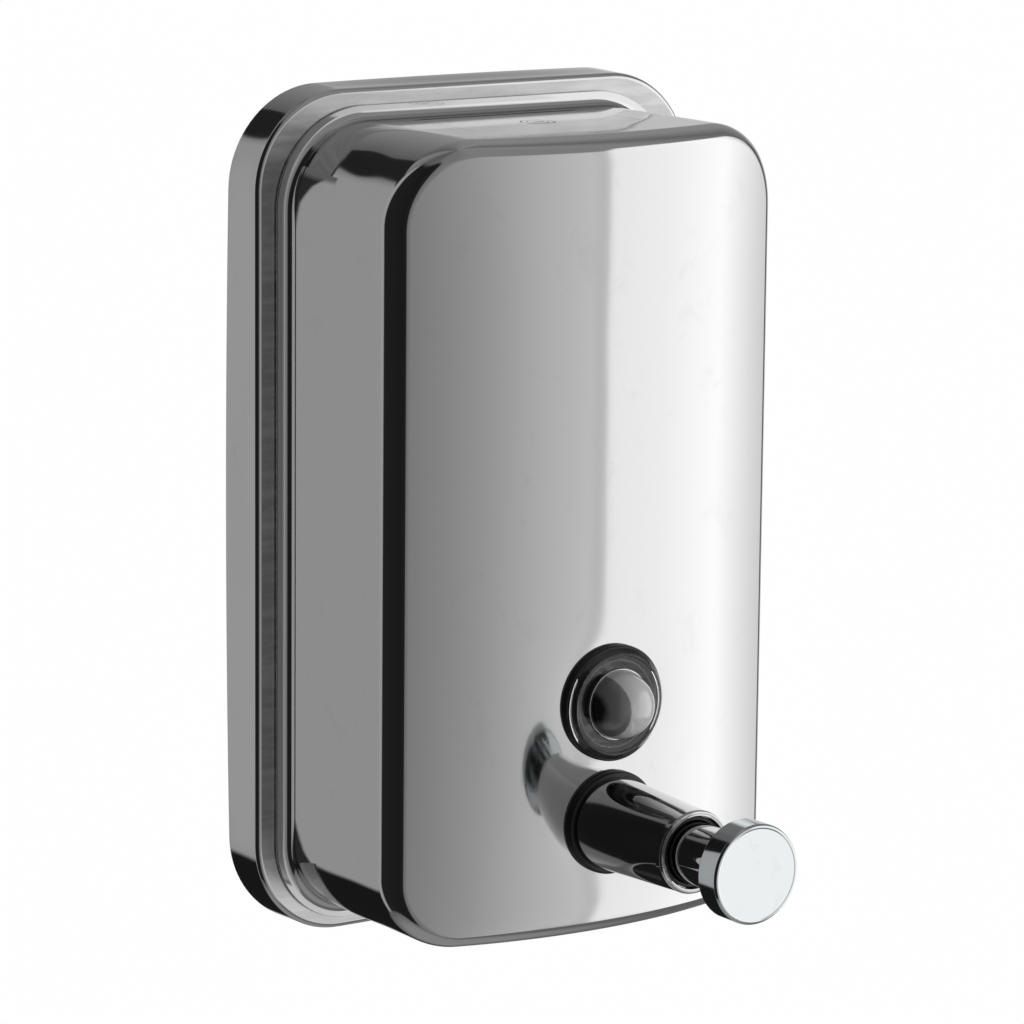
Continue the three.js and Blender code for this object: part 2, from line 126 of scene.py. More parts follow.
class Skin:
    """Patches of points with exact normals, welded into one mesh."""

    def __init__(self):
        self.points, self.normals, self.faces, self.zones, self.count = [], [], [], [], 0

    def patch(self, points, normals, faces, zone=0):
        self.points.append(points)
        self.normals.append(normals)
        self.faces += [tuple(i + self.count for i in face) for face in faces]
        self.zones += [zone] * len(faces)
        self.count += len(points)

    def rows(self, points, normals, zone=0, closed=True):
        """A grid of quads; each row is a closed ring unless closed is False."""
        n_rows, n_cols = points.shape[:2]
        wrap = n_cols if closed else n_cols - 1
        faces = []
        for row in range(n_rows - 1):
            for col in range(wrap):
                a, b = row * n_cols + col, row * n_cols + (col + 1) % n_cols
                faces.append((a, b, b + n_cols, a + n_cols))
        self.patch(points.reshape(-1, 3), normals.reshape(-1, 3), faces, zone)

    def surface(self, shape, u, v, zone=0, closed=True):
        """A grid over shape(u, v), which is smooth a little way past the ends of u and v."""
        uu, vv = np.meshgrid(u, v)
        step = 1e-4
        across = shape(uu + step, vv) - shape(uu - step, vv)
        along = shape(uu, vv + step) - shape(uu, vv - step)
        normals = np.cross(across, along)
        normals /= np.maximum(np.linalg.norm(normals, axis=-1, keepdims=True), 1e-12)
        self.rows(shape(uu, vv), normals, zone, closed)

    def turn(self, segments, steps=96, z=0.0, zone=0, follow=None):
        """Turns a profile of (radius, y) about the line along Y at height z; follow(x, z) moves y."""
        angle = np.arange(steps) * 2 * math.pi / steps
        cos, sin = np.cos(angle)[None, :], np.sin(angle)[None, :]
        for points, normals in segments:
            (r, y), (nr, ny) = points.T[..., None], normals.T[..., None]
            flat = np.zeros_like(cos)
            lift = follow(r * cos, z + r * sin) if follow else flat
            self.rows(
                np.stack([r * cos, y + lift + flat, z + r * sin], -1),
                np.stack([nr * cos, ny + flat, nr * sin], -1), zone)

    def build(self, name, materials):
        points = np.concatenate(self.points)
        normals = np.concatenate(self.normals)
        keys = np.floor(points * WELD_CELLS_PER_MM + WELD_SHIFT).astype(np.int64)
        _, first, index = np.unique(keys, axis=0, return_index=True, return_inverse=True)
        index = index.reshape(-1)
        faces, corners, zones = [], [], []
        for face, zone in zip(self.faces, self.zones):
            merged = {}
            for i in face:
                merged.setdefault(int(index[i]), i)
            if len(merged) > 2:
                faces.append(tuple(merged))
                corners.append(merged)
                zones.append(zone)
        mesh = bpy.data.meshes.new(name)
        mesh.from_pydata((points[first] * MM).tolist(), [], faces)
        work = bmesh.new()
        work.from_mesh(mesh)
        bmesh.ops.recalc_face_normals(work, faces=work.faces)
        work.to_mesh(mesh)
        work.free()
        mesh.polygons.foreach_set("use_smooth", [True] * len(faces))
        mesh.polygons.foreach_set("material_index", zones)
        loop_normals = [None] * len(mesh.loops)
        for polygon, merged in zip(mesh.polygons, corners):
            face_normal = np.array(polygon.normal)
            for loop in polygon.loop_indices:
                normal = normals[merged[mesh.loops[loop].vertex_index]]
                side = 1.0 if normal @ face_normal >= 0 else -1.0
                loop_normals[loop] = (normal * side).tolist()
        for material in materials:
            mesh.materials.append(material)
        mesh.update()
        mesh.normals_split_custom_set(loop_normals)
        thing = bpy.data.objects.new(name, mesh)
        bpy.context.collection.objects.link(thing)
        return thing


def profile(corners, arc_step=10):
    """Straight lines and fillets through (radius, y) or (radius, y, fillet) corners, with their normals."""
    corners = [(*corner, 0.0)[:3] for corner in corners]
    segments = []
    start = np.array(corners[0][:2], float)
    for i in range(1, len(corners)):
        here = np.array(corners[i][:2], float)
        fillet = corners[i][2] if i < len(corners) - 1 else 0.0
        before = (here - start) / np.linalg.norm(here - start)
        end = here
        arc = None
        if fillet:
            after = np.array(corners[i + 1][:2], float) - here
            after /= np.linalg.norm(after)
            turn = math.acos(max(-1.0, min(1.0, float(before @ after))))
            if turn > 1e-3:
                cut = fillet * math.tan(turn / 2)
                end = here - before * cut
                side = np.array([-before[1], before[0]])
                side *= 1.0 if side @ after > 0 else -1.0
                centre = end + side * fillet
                steps = max(2, math.ceil(math.degrees(turn) / arc_step))
                angles = np.linspace(0, turn, steps + 1)[:, None]
                out = -side * np.cos(angles) + before * np.sin(angles)
                arc = (centre + out * fillet, out)
        line = np.array([start, end])
        normal = np.array([before[1], -before[0]])
        segments.append((line, np.array([normal, normal])))
        start = end
        if arc:
            segments.append(arc)
            start = arc[0][-1]
    return segments


def declare(piece, body, slot, *nodes):
    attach(piece, body)
    if nodes:
        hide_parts(*nodes)
    return piece


# ---- materials ----

class Look:
    """A procedural material: one Principled shader and small helpers for the nodes that feed it."""

    def __init__(self, name, **values):
        self.material = bpy.data.materials.new(name)
        self.material.use_nodes = True
        self.nodes = self.material.node_tree.nodes
        self.links = self.material.node_tree.links
        self.shader = self.nodes["Principled BSDF"]
        for key, value in values.items():
            self.shader.inputs[key.replace("_", " ")].default_value = value
        self.where = self.nodes.new("ShaderNodeTexCoord").outputs["Object"]
        self.bump = None

    def put(self, value, socket):
        if isinstance(value, bpy.types.NodeSocket):
            self.links.new(value, socket)
        else:
            socket.default_value = value

    def math(self, operation, a, b=0.0):
        node = self.nodes.new("ShaderNodeMath")
        node.operation = operation
        self.put(a, node.inputs[0])
        self.put(b, node.inputs[1])
        return node.outputs[0]

    def place(self, stretch):
        node = self.nodes.new("ShaderNodeMapping")
        node.inputs["Scale"].default_value = stretch
        self.links.new(self.where, node.inputs["Vector"])
        return node.outputs[0]

    def noise(self, scale, detail=3.0, rough=0.5, stretch=(1, 1, 1), distortion=0.0):
        node = self.nodes.new("ShaderNodeTexNoise")
        node.inputs["Scale"].default_value = scale
        node.inputs["Detail"].default_value = detail
        node.inputs["Roughness"].default_value = rough
        node.inputs["Distortion"].default_value = distortion
        self.links.new(self.place(stretch), node.inputs["Vector"])
        return node.outputs["Fac"]

    def cells(self, scale):
        """Distance to the middle of the nearest cell."""
        node = self.nodes.new("ShaderNodeTexVoronoi")
        node.inputs["Scale"].default_value = scale
        self.links.new(self.place((1, 1, 1)), node.inputs["Vector"])
        return node.outputs["Distance"]

    def range(self, value, low, high, to_low, to_high, smooth=False):
        node = self.nodes.new("ShaderNodeMapRange")
        node.interpolation_type = "SMOOTHSTEP" if smooth else "LINEAR"
        self.put(value, node.inputs["Value"])
        for key, number in (("From Min", low), ("From Max", high), ("To Min", to_low), ("To Max", to_high)):
            self.put(number, node.inputs[key])
        return node.outputs["Result"]

    def blend(self, share, a, b):
        node = self.nodes.new("ShaderNodeMix")
        node.data_type = "RGBA"
        self.put(share, node.inputs["Factor"])
        self.put(a, node.inputs["A"])
        self.put(b, node.inputs["B"])
        return node.outputs["Result"]

    def raise_by(self, height, distance, strength=1.0):
        """Adds a height to the shader's bump."""
        node = self.nodes.new("ShaderNodeBump")
        node.inputs["Distance"].default_value = distance
        node.inputs["Strength"].default_value = strength
        self.links.new(height, node.inputs["Height"])
        if self.bump:
            self.links.new(self.bump, node.inputs["Normal"])
        self.bump = node.outputs["Normal"]
        self.links.new(self.bump, self.shader.inputs["Normal"])

    def set(self, **values):
        for key, value in values.items():
            self.put(value, self.shader.inputs[key.replace("_", " ")])
        return self


def polished_steel(name, tone=0.63, rough=0.05, grain=(1, 1, 0.04)):
    """Mirror polished stainless: faint polishing lines along one way, haze and smudges."""
    look = Look(name, Metallic=1.0)
    lines = look.noise(5200, 2.0, 0.6, grain)
    broad = look.noise(900, 2.0, 0.5, grain)
    haze = look.range(look.noise(38, 4.0, 0.6), 0.35, 0.75, 0.0, 1.0, True)
    smudge = look.range(look.noise(95, 5.0, 0.7, distortion=0.6), 0.56, 0.72, 0.0, 1.0, True)
    wear = look.math("ADD", look.math("MULTIPLY", haze, 0.025), look.math("MULTIPLY", smudge, 0.035))
    streak = look.range(lines, 0.3, 0.7, -0.015, 0.03)
    roughness = look.math("ADD", look.math("ADD", wear, streak), rough)
    dull = (tone * 0.94, tone * 0.94, tone * 0.95, 1.0)
    bright = (tone, tone, tone * 1.005, 1.0)
    look.set(Base_Color=look.blend(look.math("MULTIPLY", smudge, 0.6), bright, dull), Roughness=roughness)
    look.raise_by(lines, 2e-7)
    look.raise_by(broad, 6e-7)
    return look.material


def satin_steel(name, tone=0.62, rough=0.3):
    """Satin stainless: soft streaks along the sheet, and patches of fine grit with darker rubbed spots."""
    look = Look(name, Metallic=1.0)
    streaks = look.noise(330, 4.0, 0.6, (0.12, 1, 1), 0.3)
    grit = look.noise(5200, 2.0, 0.7)
    patch = look.range(look.noise(70, 3.0, 0.6, (0.5, 1, 1)), 0.48, 0.62, 0.0, 1.0, True)
    spots = look.math("MULTIPLY", look.range(grit, 0.5, 0.72, 0.0, 0.6, True), patch)
    dark = (tone * 0.6, tone * 0.6, tone * 0.61, 1.0)
    pale = look.blend(
        look.range(streaks, 0.35, 0.65, 0.0, 1.0, True),
        (tone * 0.86, tone * 0.86, tone * 0.86, 1.0), (tone * 1.12, tone * 1.12, tone * 1.12, 1.0))
    look.set(
        Base_Color=look.blend(spots, pale, dark),
        Roughness=look.math("ADD", look.range(streaks, 0.3, 0.7, -0.04, 0.06), rough))
    look.raise_by(streaks, 2.5e-6)
    look.raise_by(look.math("MULTIPLY", grit, patch), 1.5e-6)
    return look.material


def chrome(name, tone=0.66, rough=0.025, red=1.0):
    """Bright chrome plate with light handling marks and hairlines round the turning axis."""
    look = Look(name, Metallic=1.0)
    marks = look.range(look.noise(160, 5.0, 0.7, distortion=0.4), 0.55, 0.75, 0.0, 1.0, True)
    rings = look.noise(3000, 2.0, 0.5, (0.06, 1, 0.06))
    clean = (tone * red, tone, tone * 1.01, 1)
    marked = (tone * 0.93 * red, tone * 0.93, tone * 0.93, 1)
    look.set(
        Base_Color=look.blend(marks, clean, marked),
        Roughness=look.math(
            "ADD", look.range(rings, 0.3, 0.7, -0.01, 0.02),
            look.math("ADD", look.math("MULTIPLY", marks, 0.03), rough)))
    look.raise_by(rings, 2e-7)
    return look.material


def zinc_plate(name):
    """Zinc plated sheet: a faint spangle, cloudy tone and a soft sheen."""
    look = Look(name, Metallic=1.0)
    spangle = look.cells(420)
    cloud = look.noise(60, 4.0, 0.6)
    tone = look.blend(look.math("MULTIPLY", spangle, 0.9), (0.50, 0.52, 0.54, 1), (0.66, 0.68, 0.70, 1))
    look.set(
        Base_Color=look.blend(look.range(cloud, 0.35, 0.7, 0.0, 0.5), tone, (0.44, 0.45, 0.46, 1)),
        Roughness=look.range(look.noise(700, 3.0, 0.6), 0.3, 0.7, 0.28, 0.46))
    look.raise_by(look.noise(1800, 3.0, 0.6), 8e-6)
    return look.material


def spring_steel(name):
    look = Look(name, Metallic=1.0)
    drawn = look.noise(2400, 3.0, 0.6, (1, 0.2, 1))
    look.set(
        Base_Color=look.blend(drawn, (0.42, 0.42, 0.43, 1), (0.6, 0.6, 0.61, 1)),
        Roughness=look.range(drawn, 0.3, 0.7, 0.18, 0.34))
    look.raise_by(drawn, 3e-6)
    return look.material


def black_rubber(name, tone=0.014, rough=0.42):
    """Moulded black rubber: fine pebble, dusty edges and a soft sheen."""
    look = Look(name)
    pebble = look.noise(3200, 3.0, 0.6)
    dust = look.range(look.noise(240, 5.0, 0.7), 0.5, 0.8, 0.0, 0.45, True)
    look.set(
        Base_Color=look.blend(dust, (tone, tone, tone, 1), (tone * 3.2, tone * 3.2, tone * 3.1, 1)),
        Roughness=look.range(look.noise(900, 3.0, 0.6), 0.3, 0.7, rough - 0.07, rough + 0.12))
    look.raise_by(pebble, 1.2e-5)
    return look.material


def nylon(name, tone=(0.72, 0.71, 0.67)):
    """Off-white moulded nylon: a slight mottle, flow lines and a fine spark-eroded texture."""
    look = Look(name, Subsurface_Weight=0.08, Subsurface_Scale=0.002)
    mottle = look.noise(130, 4.0, 0.6)
    dirt = look.range(look.noise(45, 5.0, 0.7), 0.55, 0.8, 0.0, 0.3, True)
    base = look.blend(mottle, (*[c * 0.93 for c in tone], 1), (*tone, 1))
    look.set(
        Base_Color=look.blend(dirt, base, (0.5, 0.48, 0.43, 1)),
        Roughness=look.range(look.noise(800, 3.0, 0.6), 0.3, 0.7, 0.38, 0.55))
    look.raise_by(look.noise(4200, 2.0, 0.5), 8e-6)
    return look.material


def clear_plastic(name, tone=(0.93, 0.94, 0.94), rough=0.04):
    """Clear moulded acrylic with faint hairlines in its gloss."""
    look = Look(name, Transmission_Weight=1.0, IOR=1.49)
    hair = look.noise(1400, 3.0, 0.6, (1, 0.15, 0.4))
    haze = look.noise(170, 4.0, 0.6)
    look.set(
        Base_Color=look.blend(haze, (*[c * 0.96 for c in tone], 1), (*tone, 1)),
        Roughness=look.math("ADD", look.range(hair, 0.35, 0.75, 0.0, 0.03), rough))
    look.raise_by(look.noise(60, 2.0, 0.5), 2e-5)
    return look.material


def dome_with_painted_reflection(name):
    """The sight dome under a clear coat, with painted reflections: dark on its left, a grey band, and pale
    over most of its right side.
    """
    look = Look(
        name, Transmission_Weight=0.05, IOR=1.49, Coat_Weight=1.0, Coat_Roughness=0.02, Roughness=0.08)
    axes = look.nodes.new("ShaderNodeSeparateXYZ")
    look.links.new(look.where, axes.inputs[0])
    x, z = axes.outputs["X"], look.math("SUBTRACT", axes.outputs["Z"], WINDOW_Z * MM)
    bow = look.math("MULTIPLY", look.math("MULTIPLY", z, z), 28.0)
    ragged = look.math("MULTIPLY", look.math("SUBTRACT", look.noise(900, 4.0, 0.65), 0.5), 0.0006)
    across = look.math("ADD", look.math("ADD", x, bow), ragged)
    # Painted reflection: a dark left part, a grey band and a pale right part with a curved, ragged edge stand
    # in for what the dome mirrors.
    painted_grey_mask = look.range(across, -0.0075, -0.0062, 0.0, 1.0, True)
    painted_pale_mask = look.range(across, -0.0026, -0.0021, 0.0, 1.0, True)
    cloud = look.range(look.noise(240, 4.0, 0.6, (1, 1, 0.5)), 0.3, 0.7, 0.86, 1.0)
    dark = look.blend(painted_grey_mask, (0.015, 0.015, 0.015, 1), (0.34, 0.34, 0.34, 1))
    pale = look.blend(cloud, (0.85, 0.85, 0.85, 1), (1.0, 1.0, 0.99, 1))
    look.set(Base_Color=look.blend(painted_pale_mask, dark, pale))
    look.raise_by(look.noise(60, 2.0, 0.5), 1e-5)
    return look.material


STEEL = polished_steel("polished steel")
LID_STEEL = polished_steel("polished lid steel", rough=0.06, grain=(1, 0.04, 1))
SATIN = satin_steel("satin steel")
CHROME = chrome("chrome")
ZINC = zinc_plate("zinc plate")
SPRING = spring_steel("spring steel")
RUBBER = black_rubber("black rubber")
NYLON = nylon("white nylon")
CLEAR = clear_plastic("clear acrylic")
PAINTED_REFLECTION_DOME = dome_with_painted_reflection("dome with painted reflection")
PAN_INSIDE = satin_steel("pan inside", 0.5, 0.34)
BUTTON_CHROME = chrome("button chrome", 0.68, 0.06, 0.96)


# ---- drawn sheet ----

def outline(form, u):
    """Points and outward directions on a rounded rectangle; u runs from 0 to 8 over its corners and sides."""
    half_x, top, bottom, top_corner, bottom_corner = form
    u = np.mod(u, 8)
    part = np.floor(u).astype(int)
    share = u - part
    which = part // 2
    sign_x, sign_z = np.array([1, -1, -1, 1]), np.array([1, 1, -1, -1])
    radius = np.array([top_corner, top_corner, bottom_corner, bottom_corner])
    centre_x = sign_x * (half_x - radius)
    centre_z = np.where(sign_z > 0, top - radius, bottom + radius)
    angle = math.pi / 2 * (which + np.where(part % 2 == 0, share, 1.0))
    nx, nz = np.cos(angle), np.sin(angle)
    x = centre_x[which] + radius[which] * nx
    z = centre_z[which] + radius[which] * nz
    after = (which + 1) % 4
    end_x = centre_x[after] + radius[after] * nx
    end_z = centre_z[after] + radius[after] * nz
    straight = np.where(part % 2 == 1, share, 0.0)
    return x + (end_x - x) * straight, z + (end_z - z) * straight, nx, nz


def around(corner_steps, top_steps, side_steps):
    """Values of u for one ring."""
    parts = [corner_steps, top_steps, corner_steps, side_steps] * 2
    return np.concatenate([i + np.arange(n) / n for i, n in enumerate(parts)])


RING = around(22, 40, 60)
PAN_FORM = (PAN["half_x"], PAN["half_z"], -PAN["half_z"], PAN["corner"], PAN["corner"])
TANK_FORM = (TANK["half_x"], TANK_TOP, TANK_BOTTOM, TANK["top_corner"], TANK["bottom_corner"])
FRONT_FORM = (TANK_FORM[0] - TANK["taper"], *TANK_FORM[1:])


def pan_wall(radius):
    """The pan's side wall, from its rounded edge at v = 0 to its rim at v = 1."""
    def shape(u, v):
        x, z, nx, nz = outline(PAN_FORM, u)
        grow = radius - PAN["edge"]
        side = PAN["bow_x"] * (1 - (z / PAN["half_z"]) ** 2) * x / PAN["half_x"]
        top = PAN["bow_z"] * (1 - (x / PAN["half_x"]) ** 2) * z / PAN["half_z"]
        ease = v * v * (3 - 2 * v) * 0.35 + v * 0.65
        y = (PAN["edge"] - PAN["depth"]) * (1 - v)
        return np.stack([x + grow * nx + side * ease, y, z + grow * nz + top * ease], -1)
    return shape


def pan_edge(radius):
    """The rounded edge between the pan's face at v = 0 and its wall at v = 1."""
    def shape(u, v):
        x, z, nx, nz = outline(PAN_FORM, u)
        grow = -PAN["edge"] + radius * np.sin(v * math.pi / 2)
        y = PAN["edge"] - PAN["depth"] - radius * np.cos(v * math.pi / 2)
        return np.stack([x + grow * nx, y, z + grow * nz], -1)
    return shape


def flat_ring(form, grow_a, grow_b, depth):
    """A flat strip that follows an outline."""
    def shape(u, v):
        x, z, nx, nz = outline(form, u)
        grow = grow_a + (grow_b - grow_a) * v
        return np.stack([x + grow * nx, depth + 0 * grow, z + grow * nz], -1)
    return shape


def flat_fan(skin, form, grow, depth, zone=0):
    """Closes a flat face inside an outline that has been grown by `grow`."""
    x, z, nx, nz = outline(form, RING)
    ring = np.stack([x + grow * nx, np.full_like(x, depth), z + grow * nz], -1)
    points = np.concatenate([ring, [[0, depth, 0]]])
    count = len(ring)
    faces = [(i, (i + 1) % count, count) for i in range(count)]
    skin.patch(points, np.tile([0.0, -1.0, 0.0], (count + 1, 1)), faces, zone)


def make_pan():
    """The tray: polished walls (zone 0), a satin face (zone 1) and a duller inside (zone 2)."""
    skin = Skin()
    inner = PAN["edge"] - SHEET
    face_ring = -12
    for radius, wall_zone, face_zone in ((PAN["edge"], 0, 1), (inner, 2, 2)):
        face_y = PAN["edge"] - PAN["depth"] - radius
        skin.surface(pan_wall(radius), RING, np.linspace(0, 1, 9), wall_zone)
        skin.surface(pan_edge(radius), RING, np.linspace(0, 1, 9), wall_zone)
        skin.surface(
            flat_ring(PAN_FORM, -PAN["edge"], face_ring, face_y), RING, np.linspace(0, 1, 4), face_zone)
        flat_fan(skin, PAN_FORM, face_ring, face_y, face_zone)
    skin.surface(
        lambda u, v: pan_wall(inner + SHEET * v)(u, np.ones_like(u)), RING, np.linspace(0, 1, 3), 2)
    pan = skin.build("pan_drawn", [STEEL, SATIN, PAN_INSIDE])
    declare(pan, "dispenser", "polished_steel", "back_pan")


def wave(a, b, seed):
    """A small slow unevenness, in millimetres, such as drawn and buffed sheet has."""
    total = 0
    lengths_and_sizes = ((71, 0.028), (43, 0.012), (27, 0.005))
    for k, (length, size) in enumerate(lengths_and_sizes):
        phase = seed * 1.7 + k * 2.1
        total = total + size * np.sin(2 * math.pi * (a / length + 0.31 * b / length) + phase) \
            * np.cos(2 * math.pi * (b / (length * 1.9)) + phase * 0.7)
    return total


def dish(x, z, centre_z, radius, depth, width):
    """How far the sheet is pressed in round a fitting."""
    far = np.maximum(np.hypot(x, z - centre_z) - radius, 0.0)
    return depth * np.exp(-far / width)


def bow_y(x, z):
    """Depth of the bowed front before the sheet is pressed in; it swells a little more at mid height."""
    swell = TANK["crown"] + TANK["pillow"] * (1 - (z / TANK_TOP) ** 4)
    return -TANK["edge_depth"] - swell * (1 - (x / TANK["bow_half"]) ** 2)


def roll(inward, depth, width):
    """How far the front turns back ahead of its rounded edge, `inward` from where that edge starts."""
    share = np.maximum(1 - inward / width, 0.0)
    return depth * np.where(share > 1, 2 * share - 1, share ** 2)


def front_y(x, z):
    """Depth of the tank's bowed front, with the sheet pressed in round the window and the pump."""
    y = bow_y(x, z)
    y = y + dish(x, z, WINDOW_Z, radius=14.2, depth=0.3, width=4.5)
    y = y + dish(x, z, PUMP_Z, radius=12.7, depth=0.25, width=4.0)
    y = y + roll(TANK_TOP - TANK["edge"] - z, depth=0.36, width=5)
    y = y + roll(z - TANK_BOTTOM - TANK["edge"], depth=0.2, width=4.5)
    fade = np.clip((TANK["bow_half"] - np.abs(x)) / 20, 0, 1)
    return y + wave(x, z, 1) * fade


def tank_edge(edge):
    """The rounded edge of the front: the bowed face at v = 0 and the side wall at v = 1."""
    def shape(u, v):
        x, z, nx, nz = outline(FRONT_FORM, u)
        grow = -TANK["edge"] + edge * np.sin(v * math.pi / 2)
        x, z = x + grow * nx, z + grow * nz
        deep = TANK["edge_long"] - TANK["edge"] + edge
        return np.stack([x, front_y(x, z) + TANK["edge_long"] - deep * np.cos(v * math.pi / 2), z], -1)
    return shape


def tank_wall(edge):
    """The tank's side wall, puckered at its corners, from its front edge at v = 0 to its root at v = 1."""
    inset = TANK["edge"] - edge
    pucker, ripple = 0.16, 5.2

    def shape(u, v):
        front = tank_edge(edge)(u, np.ones_like(v))
        x, z, nx, nz = outline(TANK_FORM, u)
        root = np.stack([x - inset * nx, np.full_like(x, FLANGE_FRONT - TANK["fillet"]), z - inset * nz], -1)
        place = front + (root - front) * v[..., None]
        swell = wave(place[..., 1] * 1.3, place[..., 2] + place[..., 0], 4)
        swell = swell + pucker * (2 * nx * nz) ** 2 * np.sin(place[..., 1] / ripple + 1.1)
        swell = swell * np.sin(np.clip(v, 0, 1) * math.pi) ** 2
        return place + np.stack([nx, 0 * nx, nz], -1) * swell[..., None]
    return shape


def tank_root(fillet):
    """The hollow fillet between the side wall at v = 0 and the flange at v = 1."""
    def shape(u, v):
        x, z, nx, nz = outline(TANK_FORM, u)
        grow = TANK["fillet"] - fillet * np.cos(v * math.pi / 2)
        y = FLANGE_FRONT - TANK["fillet"] + fillet * np.sin(v * math.pi / 2)
        return np.stack([x + grow * nx, y, z + grow * nz], -1)
    return shape


def tank_rim(u, v):
    """The flange's cut edge, a little rounded, from its front at v = 0 to its back at v = 1."""
    x, z, nx, nz = outline(TANK_FORM, u)
    reach = TANK["fillet"] + TANK["flat"]
    angle = v * math.pi
    grow = reach - RIM_ROUND + RIM_ROUND * np.sin(angle) ** 0.8
    y = FLANGE_FRONT + SHEET * (1 - np.cos(angle)) / 2
    return np.stack([x + grow * nx, y, z + grow * nz], -1)


HOLE_STEPS = 72


def circle(radius, centre_z, turn=0.0):
    """Points round a hole, as (x, z)."""
    angle = np.arange(HOLE_STEPS) * 2 * math.pi / HOLE_STEPS + turn
    return np.stack([radius * np.cos(angle), centre_z + radius * np.sin(angle)], -1)


def bowed_face(skin, inset, holes, zone=0, pitch=2.2):
    """The bowed front inside its edge, triangulated round its holes; each hole is (centre z, radius)."""
    edge = TANK["edge"] - inset
    ring = tank_edge(edge)(RING, np.zeros_like(RING))[:, [0, 2]]
    loops = [ring]
    guides = []
    for centre_z, radius in holes:
        for k, beyond in enumerate((0, 1.2, 2.6, 4.2, 6)):
            points = circle(radius + beyond, centre_z, (k % 2) * math.pi / HOLE_STEPS)
            (loops if k == 0 else guides).append(points)
    flat = np.concatenate(loops + guides)
    lines, start = [], 0
    for loop in loops:
        count = len(loop)
        lines += [(start + i, start + (i + 1) % count) for i in range(count)]
        start += count
    xs = np.arange(-54, 54.1, pitch)
    zs = np.arange(TANK_BOTTOM, TANK_TOP, pitch)
    inner = []
    for i, z in enumerate(zs):
        for x in xs + (pitch / 2 if i % 2 else 0):
            if inside(FRONT_FORM, x, z, TANK["edge"] + 0.9) and \
                    all(math.hypot(x, z - cz) > r + 7 for cz, r in holes):
                inner.append((x, z))
    flat = np.concatenate([flat, inner])
    keep = [inside(FRONT_FORM, x, z, TANK["edge"] - 1e-3) for x, z in flat[start:]]
    flat = np.concatenate([flat[:start], flat[start:][keep]])
    points, _, triangles, *_ = delaunay_2d_cdt([Vector(p) for p in flat], lines, [], 0, 1e-6)
    points = np.array([tuple(p) for p in points])
    faces = []
    for triangle in triangles:
        cx, cz = points[list(triangle)].mean(axis=0)
        clear = all(math.hypot(cx, cz - z) > r for z, r in holes)
        if clear and inside(FRONT_FORM, cx, cz, TANK["edge"]):
            faces.append(tuple(triangle))
    x, z = points.T
    step = 1e-3
    slope_x = (front_y(x + step, z) - front_y(x - step, z)) / (2 * step)
    slope_z = (front_y(x, z + step) - front_y(x, z - step)) / (2 * step)
    normals = np.stack([slope_x, -np.ones_like(x), slope_z], -1)
    normals /= np.linalg.norm(normals, axis=1, keepdims=True)
    skin.patch(np.stack([x, front_y(x, z) + inset, z], -1), normals, faces, zone)


def inside(form, x, z, margin):
    """True where a point lies within a rounded rectangle shrunk by `margin`."""
    half_x, top, bottom, top_corner, bottom_corner = form
    radius = top_corner if z > (top + bottom) / 2 else bottom_corner
    edge = (top - z) if z > (top + bottom) / 2 else (z - bottom)
    dx, dz = radius - (half_x - abs(x)), radius - edge
    if dx > 0 and dz > 0:
        return math.hypot(dx, dz) < radius - margin
    return half_x - abs(x) > margin and edge > margin


def make_tank():
    """The tank: polished outside (zone 0) and satin inside (zone 1), with the lid's opening cut out."""
    skin = Skin()
    holes = ((WINDOW_Z, WINDOW_HOLE), (PUMP_Z, PUMP_HOLE))
    fine = np.linspace(0, 1, 13)
    for inset in (0.0, SHEET):
        edge = TANK["edge"] - inset
        zone = 0 if inset == 0 else 1
        bowed_face(skin, inset, holes, zone)
        skin.surface(tank_edge(edge), RING, fine, zone)
        skin.surface(tank_wall(edge), RING, np.linspace(0, 1, 19), zone)
        skin.surface(tank_root(TANK["fillet"] + inset), RING, fine, zone)
        skin.surface(
            flat_ring(
                TANK_FORM, TANK["fillet"], TANK["fillet"] + TANK["flat"] - RIM_ROUND, FLANGE_FRONT + inset),
            RING, np.linspace(0, 1, 3), zone)
    skin.surface(tank_rim, RING, np.linspace(0, 1, 9), 0)
    for centre_z, radius in holes:
        angle = np.arange(HOLE_STEPS) * 2 * math.pi / HOLE_STEPS

        def hole_wall(a, v, centre_z=centre_z, radius=radius):
            x, z = radius * np.cos(a), centre_z + radius * np.sin(a)
            return np.stack([x, front_y(x, z) + SHEET * v, z], -1)
        skin.surface(hole_wall, angle, np.linspace(0, 1, 3), 0)
    tank = skin.build("tank_drawn", [STEEL, SATIN])
    cut = bpy.data.objects.new("lid opening", lid_cutter())
    bpy.context.collection.objects.link(cut)
    opening = tank.modifiers.new("lid opening", "BOOLEAN")
    opening.operation = "DIFFERENCE"
    opening.solver = "EXACT"
    opening.object = cut
    depsgraph = bpy.context.evaluated_depsgraph_get()
    mesh = bpy.data.meshes.new_from_object(tank.evaluated_get(depsgraph), depsgraph=depsgraph)
    tank.modifiers.clear()
    tank.data = mesh
    bpy.data.objects.remove(cut)
    declare(tank, "dispenser", "polished_steel", "tank_shell")


LID_LOW, LID_HIGH = box_mm("filler_lid")
LID_GAP = 0.09
LID_BACK = -20.4
LID_SWING = 1.0


def lid_cutter():
    """A box for the lid's opening: a fine gap at the front and sides, and room to swing at the back."""
    x = LID_HIGH[0] + LID_GAP
    front, back = LID_LOW[1] - LID_GAP, LID_BACK + LID_SWING
    mesh = bpy.data.meshes.new("lid opening")
    work = bmesh.new()
    bmesh.ops.create_cube(work, size=1.0)
    for vertex in work.verts:
        across, along, up = vertex.co
        vertex.co = Vector((
            across * 2 * x, (front + back) / 2 + along * (back - front), TANK_TOP + up * 5)) * MM
    bmesh.ops.bevel(
        work, geom=[e for e in work.edges if abs(e.verts[0].co.z - e.verts[1].co.z) > 1e-4],
        offset=1.0 * MM, segments=5, affect="EDGES")
    work.to_mesh(mesh)
    work.free()
    return mesh


# ---- window and pump ----

